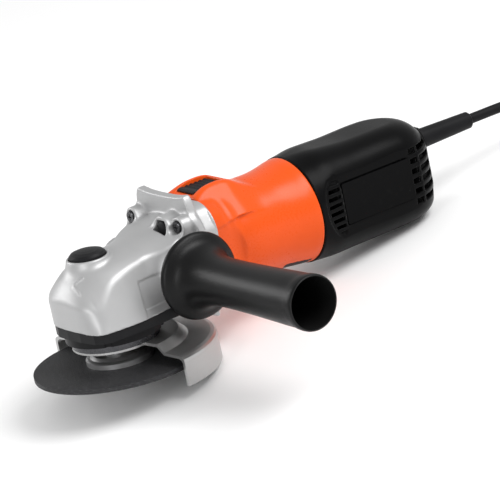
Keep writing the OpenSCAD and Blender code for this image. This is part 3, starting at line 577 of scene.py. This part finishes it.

# ---- Cutting wheel ----------------------------------------------------------------------
# Resin-bonded grit, pressed and fired: nearly black, rough as sandpaper, with painted glints:
# bright specks where single grains catch the light; and paler dust in patches.
def bonded_grit(place):
    grit = place.make("TexVoronoi", {"feature": "F1"}, {"Vector": place, "Scale": 1500.0})
    coarse = place.grain(700, 4, 0.7)
    # painted highlight: bright specks painted into the colour as glints of single grains
    painted_glint = place.grain(1900, 1).step_up(0.64, 0.72)
    dust = place.grain(40, 4).step_up(0.35, 0.75)
    base = coarse.blend((0.007, 0.007, 0.008), (0.030, 0.030, 0.032))
    dusty = (dust * 0.3).blend(base, (0.05, 0.05, 0.052))
    return {
        "Base Color": (painted_glint * 0.5).blend(dusty, (0.30, 0.30, 0.31)),
        "Roughness": coarse * 0.25 + 0.5,
        "Specular IOR Level": 0.3,
        "Normal": grit.relief(0.00028, 0.7, coarse.relief(0.0003, 0.6)),
    }


dress("cutting_wheel", finish("abrasive", bonded_grit), 0.5)

# ---- Side handle --------------------------------------------------------------------------
# Moulded in one piece with a fine leather-like grain: a dished hand guard, a slim grip
# and a flared, open end. It screws into either side of the head.
def fine_grain(place):
    grain = place.make("TexVoronoi", {"feature": "SMOOTH_F1"}, {"Vector": place, "Scale": 1500.0})
    swirl = place.grain(50, 4)
    # painted highlight: convex edges are painted grey over the black
    edge_highlight = place.make("NewGeometry", out=7).step_up(0.55, 0.66)
    colour = swirl.blend((0.002, 0.002, 0.0022), (0.004, 0.004, 0.0042))
    return {
        "Base Color": (edge_highlight * 0.5).blend(colour, (0.12, 0.12, 0.12)),
        "Roughness": place.grain(800, 3) * 0.12 + 0.32,
        "Specular IOR Level": 0.2,
        "Normal": grain.relief(0.00016, 0.45),
    }


# painted shade: the open bore gets a duller, less reflective black of its own, standing in for the shade
# deep inside it
def painted_shade_bore(place):
    return {
        "Base Color": place.grain(90, 3).blend((0.002, 0.002, 0.002), (0.005, 0.005, 0.005)),
        "Roughness": place.grain(300, 2) * 0.1 + 0.75,
        "Specular IOR Level": 0.1,
    }


grip_finish = finish("grip_black", fine_grain)
# from the head outward: radius and distance from the tool's middle, first the hand guard,
# then the grip to its flared end, then back down the open bore to its floor
profile = [(4.3, 43.2), (9, 43.1), (13, 43.3), (18, 44.6), (22.5, 46.1), (26, 47.4), (27.8, 48.6),
           (28.5, 50.0), (28.6, 51.4), (28.0, 52.8), (26.6, 53.9), (24.6, 54.8), (22.6, 56.0),
           (20.9, 57.8), (19.5, 60.2), (18.3, 63.2), (17.3, 67), (16.6, 71.5), (16.1, 77),
           (15.85, 84), (15.8, 92), (15.85, 102), (16.0, 113), (16.25, 124), (16.6, 135),
           (16.95, 146), (17.25, 155), (17.4, 161), (17.45, 166), (17.7, 169), (18.05, 171.2),
           (18.2, 173.5), (18.15, 175.6), (17.9, 176.8), (17.3, 177.4), (17.0, 177.3)]
BORE_ROW = len(profile)
profile += [(16.8, 176.6), (16.7, 174), (16.4, 168), (15.8, 160), (14.9, 150), (13.9, 138),
            (13.1, 124), (13.0, 110), (13.0, 78), (12.4, 76.2), (9, 76), (4.3, 76)]
around = 112
points = []
for radius, reach in profile:
    for k in range(around):
        t = 2 * math.pi * k / around
        points.append((HANDLE_X + radius * math.cos(t), -reach, AXIS_Z + radius * math.sin(t)))
rows = len(profile)
faces = []
for r in range(rows):
    for k in range(around):
        n = (k + 1) % around
        below = (r + 1) % rows
        faces.append((r * around + k, r * around + n, below * around + n, below * around + k))
handle = add_mesh("handle_grip_moulding", seat(points), faces)
handle.data.materials.append(grip_finish)
# the bore's faces take the painted-shade black
handle.data.materials.append(finish("bore_shade_black", painted_shade_bore))
for polygon in handle.data.polygons:
    if polygon.index // around >= BORE_ROW:
        polygon.material_index = 1
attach(handle, "side_handle")
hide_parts("handle_grip")
dress("handle_stud", machined, 0.3)

# ---- Motor housing ------------------------------------------------------------------------
# Orange glass-filled nylon. A squarish neck behind the head swells into the round barrel
# over the motor, flares to meet the tail, and carries a hump for the slide switch. A black
# inlay crosses its underside just ahead of the tail.
MOTOR_X, MOTOR_HALF_LONG = 110.75, 40.65
INLAY_X = 136.5
WALL = 2.6


def motor_housing_body(x, y, z):
    a = np.abs(y)
    reach = follow(x, (69, 78, 85, 88, 91, 95, 115, 132, 141, 147, 152),
                   (33.6, 32.4, 31.7, 32.2, 33.7, 34.2, 34.1, 34.2, 35.4, 36.5, 36.9))
    sag = follow(x, (69, 90, 127, 142, 152), (34.2, 33.6, 33.0, 34.7, 35.8))
    up = z - AXIS_Z
    tall = np.where(up < 0, sag, reach)
    corner = 12 + 7 * ramp_up(x - 80, 6) + (reach - 19.01) * ramp_up(x - 89, 7)
    body = rounded_section(y, up * reach / tall, reach, reach, np.minimum(corner, reach))
    # the hump, with a finger wall on each side of the slide switch
    crest = follow(x, (69, 74, 80, 88, 95, 100, 105, 112, 122),
                   (90.2, 92.6, 94.8, 95.7, 95.3, 94.0, 91.2, 86.5, 76))
    flank = a - 13.4 - 0.8 * (95.5 - z) + 9 * ramp_up(x - 108, 26)
    hump = trim((z - crest) / 1.2, flank / 1.3, 2.2)
    body = weld(body, np.maximum(hump, 74 - z), 4)
    pocket = np.maximum(rounded_section(x - 81.6, y, 16.6, 10.3, 1.5), 91.2 - z)
    body = -weld(-body, pocket, 0.9)
    # a shallow channel all round at the joint with the tail
    body = body + 0.5 * ramp_up(x - 151.0, 0.5)
    body = trim(body, np.abs(x - MOTOR_X) - MOTOR_HALF_LONG, 0.7)
    # hollow for the motor, then the slot in the hump for the slide's stem and foot
    room = np.hypot(y, up * reach / tall) - (reach - WALL)
    neck = rounded_section(y, up, 31.2, 31.2, 20)
    room = np.where(x < 92, np.maximum(neck, room), room)
    body = np.maximum(body, -room)
    slot = np.maximum(rounded_section(x - 82, y, 7.6, 5.6, 1), 80 - z)
    slot = np.minimum(slot, np.maximum(rounded_section(x - 86, y, 16, 8.4, 1), np.abs(z - 82) - 6.8))
    return np.maximum(body, -slot)


def glossy_orange(place):
    broad = place.grain(22, 4)
    fine = place.grain(1600, 2)
    # painted highlight: convex edges are painted a paler orange
    edge_highlight = place.make("NewGeometry", out=7).step_up(0.55, 0.66)
    colour = broad.blend((0.70, 0.074, 0.005), (0.76, 0.088, 0.007))
    return {
        "Base Color": (edge_highlight * 0.35).blend(colour, (0.95, 0.30, 0.10)),
        "Roughness": place.grain(600, 3) * 0.08 + broad * 0.05 + 0.22,
        "Specular IOR Level": 0.22,
        "Normal": fine.relief(0.00004, 0.4),
    }


orange = finish("orange_shell", glossy_orange)
motor_shell = cast("motor_shell", motor_housing_body, (67, -40, 14), (154, 40, 99), 0.8)
motor_shell.data.materials.append(orange)
motor_shell.data.materials.append(black_moulding)
for polygon in motor_shell.data.polygons:
    x, y, z = (np.array(polygon.center) * 1000 - TOOL_ORIGIN) @ TO_BENCH
    if abs(x - INLAY_X) < 7 + 0.2 * abs(y) and abs(y) < 20 and z < AXIS_Z:
        polygon.material_index = 1
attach(motor_shell, "tool")
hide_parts("motor_housing")

# ---- Slide switch ----------------------------------------------------------------------------
# The black thumb slide in the hump: a low cap with five grip steps across it, each with a
# steep face and a sloping back, on a stem that goes down to the switch rod.
cap_line = [(74.0, 91.6), (74.0, 92.5), (74.5, 93.0), (75.6, 93.3), (77.2, 93.4)]
GRIP_STEPS = 5
GRIP_PITCH = 3.6
for k in range(GRIP_STEPS):
    start = 78.2 + k * GRIP_PITCH
    cap_line += [(start, 93.4), (start + 0.25, 92.45), (start + 0.9, 92.4),
                 (start + 2.9, 93.3), (start + 3.2, 93.45)]
cap_line += [(96.2, 93.3), (96.8, 93.0), (97.0, 92.5), (97.0, 91.6)]
# stations across the cap, and how far its top edge drops there
CAP_ACROSS = ((-9.7, 0.35), (-9.45, 0.1), (-9.1, 0), (0, 0), (9.1, 0), (9.45, 0.1), (9.7, 0.35))
CAP_SKIRT_Z = 92
points = [(x, y, z - (drop if z > CAP_SKIRT_Z else 0)) for y, drop in CAP_ACROSS for x, z in cap_line]
n = len(cap_line)
faces = [(w * n + k, (w + 1) * n + k, (w + 1) * n + k + 1, w * n + k + 1)
         for w in range(len(CAP_ACROSS) - 1) for k in range(n - 1)]
faces += [(w * n, w * n + n - 1, (w + 1) * n + n - 1, (w + 1) * n) for w in range(len(CAP_ACROSS) - 1)]
faces += [tuple(range(n)), tuple(range(len(points) - 1, len(points) - n - 1, -1))]


def block(x_low, x_high, half_wide, z_low, z_high):
    """The corners of the stem or the foot under the cap."""
    ring = ((x_low, -half_wide), (x_high, -half_wide), (x_high, half_wide), (x_low, half_wide))
    return [(x, y, z) for z in (z_low, z_high) for x, y in ring]


FOOT_Z = 84.3
BLOCK_FACES = ((3, 2, 1, 0), (4, 5, 6, 7), (0, 1, 5, 4), (1, 2, 6, 5), (2, 3, 7, 6), (3, 0, 4, 7))
for corners in (block(84, 88, 5, FOOT_Z, 92), block(81, 91, 6.5, FOOT_Z, 85.7)):
    base = len(points)
    points += corners
    faces += [tuple(base + k for k in f) for f in BLOCK_FACES]
slide = add_mesh("slide_switch", seat(points), faces, smooth=False)
slide.data.materials.append(black_moulding)
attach(slide, "switch")
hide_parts("slide_button")

# ---- Tail ------------------------------------------------------------------------------------------
# Black nylon cup over the switch and brushes. Flat sides with a scalloped front edge,
# louvres in front of the label plate, and two columns of air slots round each rear corner.
PLATE_X, PLATE_Z = 200.0, 55.0
TAIL_FRONT_X = 151.6
FLAT_Z = 55.5
LOUVRE_PITCH = 5.0
SLOT_PITCH, SLOT_ROWS = 6.9, 6


def tail_body(x, y, z):
    a = np.abs(y)
    top = follow(x, (150, 160, 168, 180, 192, 225, 241, 266),
                 (36.9, 37.5, 37.6, 36.8, 36.0, 35.9, 35.5, 35.2))
    low = follow(x, (150, 160, 167, 184, 210, 236, 266), (36.3, 36.5, 36.3, 35.1, 34.2, 34.0, 34.0))
    wide = follow(x, (150, 158, 166, 176, 188, 225, 245, 266),
                  (36.9, 36.8, 36.0, 34.5, 33.7, 33.6, 33.3, 33.0))
    corner = follow(x, (150, 157, 166, 178, 190, 266), (36.2, 35.2, 31, 26.5, 24, 24))
    centre = AXIS_Z + (top - low) / 2
    tall = (top + low) / 2
    # seen from above the rear is half a circle
    past = np.maximum(x - 227.5 - 3.5 * ramp_up(32 - z, 12), 0)
    skin = rounded_section(np.hypot(a, past), z - centre, wide, tall, corner)
    # the flat side, inside a scalloped edge
    scallop = 178 - 22 * np.sqrt(np.clip(1 - ((z - FLAT_Z) / 25.5) ** 2, 0, 1))
    flat = ramp_up(x - scallop, 1.6) * ramp_up(25.0 - np.abs(z - FLAT_Z), 1.6) * ramp_up(236 - x, 3)
    shell = skin + flat * np.clip(a - 31.8, 0, 1.0) * 1.2
    # recess for the label plate
    plate = np.maximum(rounded_section(x - PLATE_X, z - PLATE_Z, 28.4, 14.4, 1.0), 32.2 - a)
    shell = np.maximum(shell, -plate)
    # louvres between the scallop and the plate
    rise = z - 36.5
    rib = np.abs(rise - LOUVRE_PITCH * np.round(rise / LOUVRE_PITCH)) - 1.25
    louvre = np.maximum.reduce([rib, scallop + 2.6 - x, x - 170.2, np.abs(z - 56.5) - 21, 31.6 - a])
    shell = -weld(-shell, louvre, 0.5)
    # two columns of air slots at each rear corner
    rise = z - 37.5
    row = np.abs(rise - SLOT_PITCH * np.clip(np.round(rise / SLOT_PITCH), 0, SLOT_ROWS - 1)) - 1.9
    columns = np.minimum(np.abs(x - 233.4) - 3.0, np.abs(x - 246) - 7.4)
    slots = np.maximum.reduce([row, columns, 12 - a, -(skin + 4.6)])
    shell = -weld(-shell, slots, 0.7)
    # the raised lip round the cord's exit
    lip = np.maximum(np.hypot(y, z - RELIEF_Z) - 10, np.abs(x - 253) - 7.6)
    shell = weld(shell, lip, 3)
    # open front, hollow inside, and a hole for the strain relief
    shell = np.maximum(shell, TAIL_FRONT_X - x)
    room = np.maximum(skin + WALL, x - 261)
    shell = np.maximum(shell, -room)
    shell = np.maximum(shell, -np.maximum(np.hypot(y, z - RELIEF_Z) - 8.7, 250 - x))
    # the wall behind the label plate
    pad = np.maximum(rounded_section(x - PLATE_X, z - PLATE_Z, 30.4, 16.4, 1.0), np.abs(a - 31) - 1.15)
    return np.minimum(shell, np.maximum(pad, skin + 1.1))


def satin_black(place):
    broad = place.grain(30, 4)
    fine = place.grain(1300, 3, 0.6)
    # painted highlight: convex edges are painted grey over the black
    edge_highlight = place.make("NewGeometry", out=7).step_up(0.54, 0.64)
    colour = broad.blend((0.002, 0.002, 0.0022), (0.004, 0.004, 0.0042))
    return {
        "Base Color": (edge_highlight * 0.4).blend(colour, (0.05, 0.05, 0.05)),
        "Roughness": place.grain(500, 3) * 0.08 + broad * 0.05 + 0.25,
        "Specular IOR Level": 0.06,
        "Normal": fine.relief(0.00006, 0.45),
    }


tail_shell = cast("tail_shell", tail_body, (148, -40, 14), (268, 40, 94), (0.85, 0.85, 0.6))
tail_shell.data.materials.append(finish("black_shell", satin_black))
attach(tail_shell, "tool")
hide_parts("tail_housing")


# ---- Label plates ----------------------------------------------------------------------------------
# A plain glossy black plate on each side of the tail, stuck into a shallow recess in the
# flat of it. Both are blank.
def high_gloss(place):
    dust = place.grain(240, 4).step_up(0.55, 0.85)
    return {
        "Base Color": dust.blend((0.002, 0.002, 0.0022), (0.004, 0.004, 0.004)),
        "Roughness": dust * 0.2 + 0.1,
        "Specular IOR Level": 0.06,
    }


dress("side_plates", finish("plate_gloss", high_gloss), 0.3)

# ---- Inside the tool ------------------------------------------------------------------------------
# Motor, gears, bearings, brushes and switch, hidden by the housings: ground bearing rings,
# cut gears, varnished laminations, enamelled copper, sintered bronze, felt and carbon.
def ground_steel(place):
    return {
        "Base Color": place.grain(90, 3).blend((0.55, 0.55, 0.56), (0.68, 0.68, 0.69)),
        "Metallic": 1.0,
        "Roughness": place.grain(900, 2) * 0.12 + 0.12,
    }


def laminations(place):
    stack = place.grain(900, 1, 0.5, (1, 0.02, 0.02))
    return {
        "Base Color": stack.blend((0.09, 0.085, 0.08), (0.20, 0.19, 0.18)),
        "Metallic": 0.6,
        "Roughness": stack * 0.2 + 0.35,
        "Normal": stack.relief(0.0001, 0.5),
    }


def copper_wire(place):
    strands = place.grain(1000, 1, 0.5, (1, 0.15, 0.15))
    return {
        "Base Color": strands.blend((0.32, 0.085, 0.03), (0.62, 0.22, 0.09)),
        "Metallic": 0.8,
        "Roughness": strands * 0.2 + 0.25,
        "Normal": strands.relief(0.0002, 0.7),
    }


def sintered_bronze(place):
    pores = place.grain(1800, 3, 0.6)
    return {
        "Base Color": pores.blend((0.36, 0.22, 0.08), (0.56, 0.36, 0.15)),
        "Metallic": 0.85,
        "Roughness": pores * 0.25 + 0.3,
    }


def pressed_felt(place):
    fibre = place.grain(1500, 5, 0.7)
    return {
        "Base Color": fibre.blend((0.34, 0.31, 0.26), (0.56, 0.52, 0.44)),
        "Roughness": fibre * 0.1 + 0.85,
        "Normal": fibre.relief(0.0003, 0.8),
    }


def pressed_carbon(place):
    dust = place.grain(1500, 4, 0.7)
    return {
        "Base Color": dust.blend((0.012, 0.012, 0.013), (0.045, 0.045, 0.047)),
        "Roughness": dust * 0.25 + 0.35,
        "Normal": dust.relief(0.0001, 0.4),
    }


def nickel_plate(place):
    return {
        "Base Color": place.grain(70, 3).blend((0.60, 0.58, 0.52), (0.70, 0.68, 0.63)),
        "Metallic": 1.0,
        "Roughness": place.grain(900, 2) * 0.1 + 0.14,
    }


ground = finish("bearing_steel", ground_steel)
copper = finish("copper_wire", copper_wire)
bronze = finish("sintered_bronze", sintered_bronze)
core_iron = finish("laminated_iron", laminations)
for bearing in ("spindle_bearing", "front_bearing", "rear_bearing"):
    for ring in ("outer", "inner"):
        dress(bearing + "_" + ring, ground, 0.3)
for node in ("crown_gear", "crown_key", "pinion", "pinion_nut", "bearing_plate", "armature_shaft",
             "switch_rod", "lock_spring", "brush_springs"):
    dress(node, machined)
for node in ("fan", "air_baffle", "switch_unit", "cord_clamp"):
    dress(node, black_moulding)
for node in ("armature_core", "stator_core"):
    dress(node, core_iron)
for node in ("armature_windings", "field_coils", "commutator"):
    dress(node, copper)
for node in ("spindle_bush", "brush_holders"):
    dress(node, bronze)
dress("bearing_boot", rubber)
dress("felt_seal", finish("felt", pressed_felt))
dress("carbon_brushes", finish("carbon", pressed_carbon))
dress("plug_pins", finish("pin_nickel", nickel_plate), 0.3)
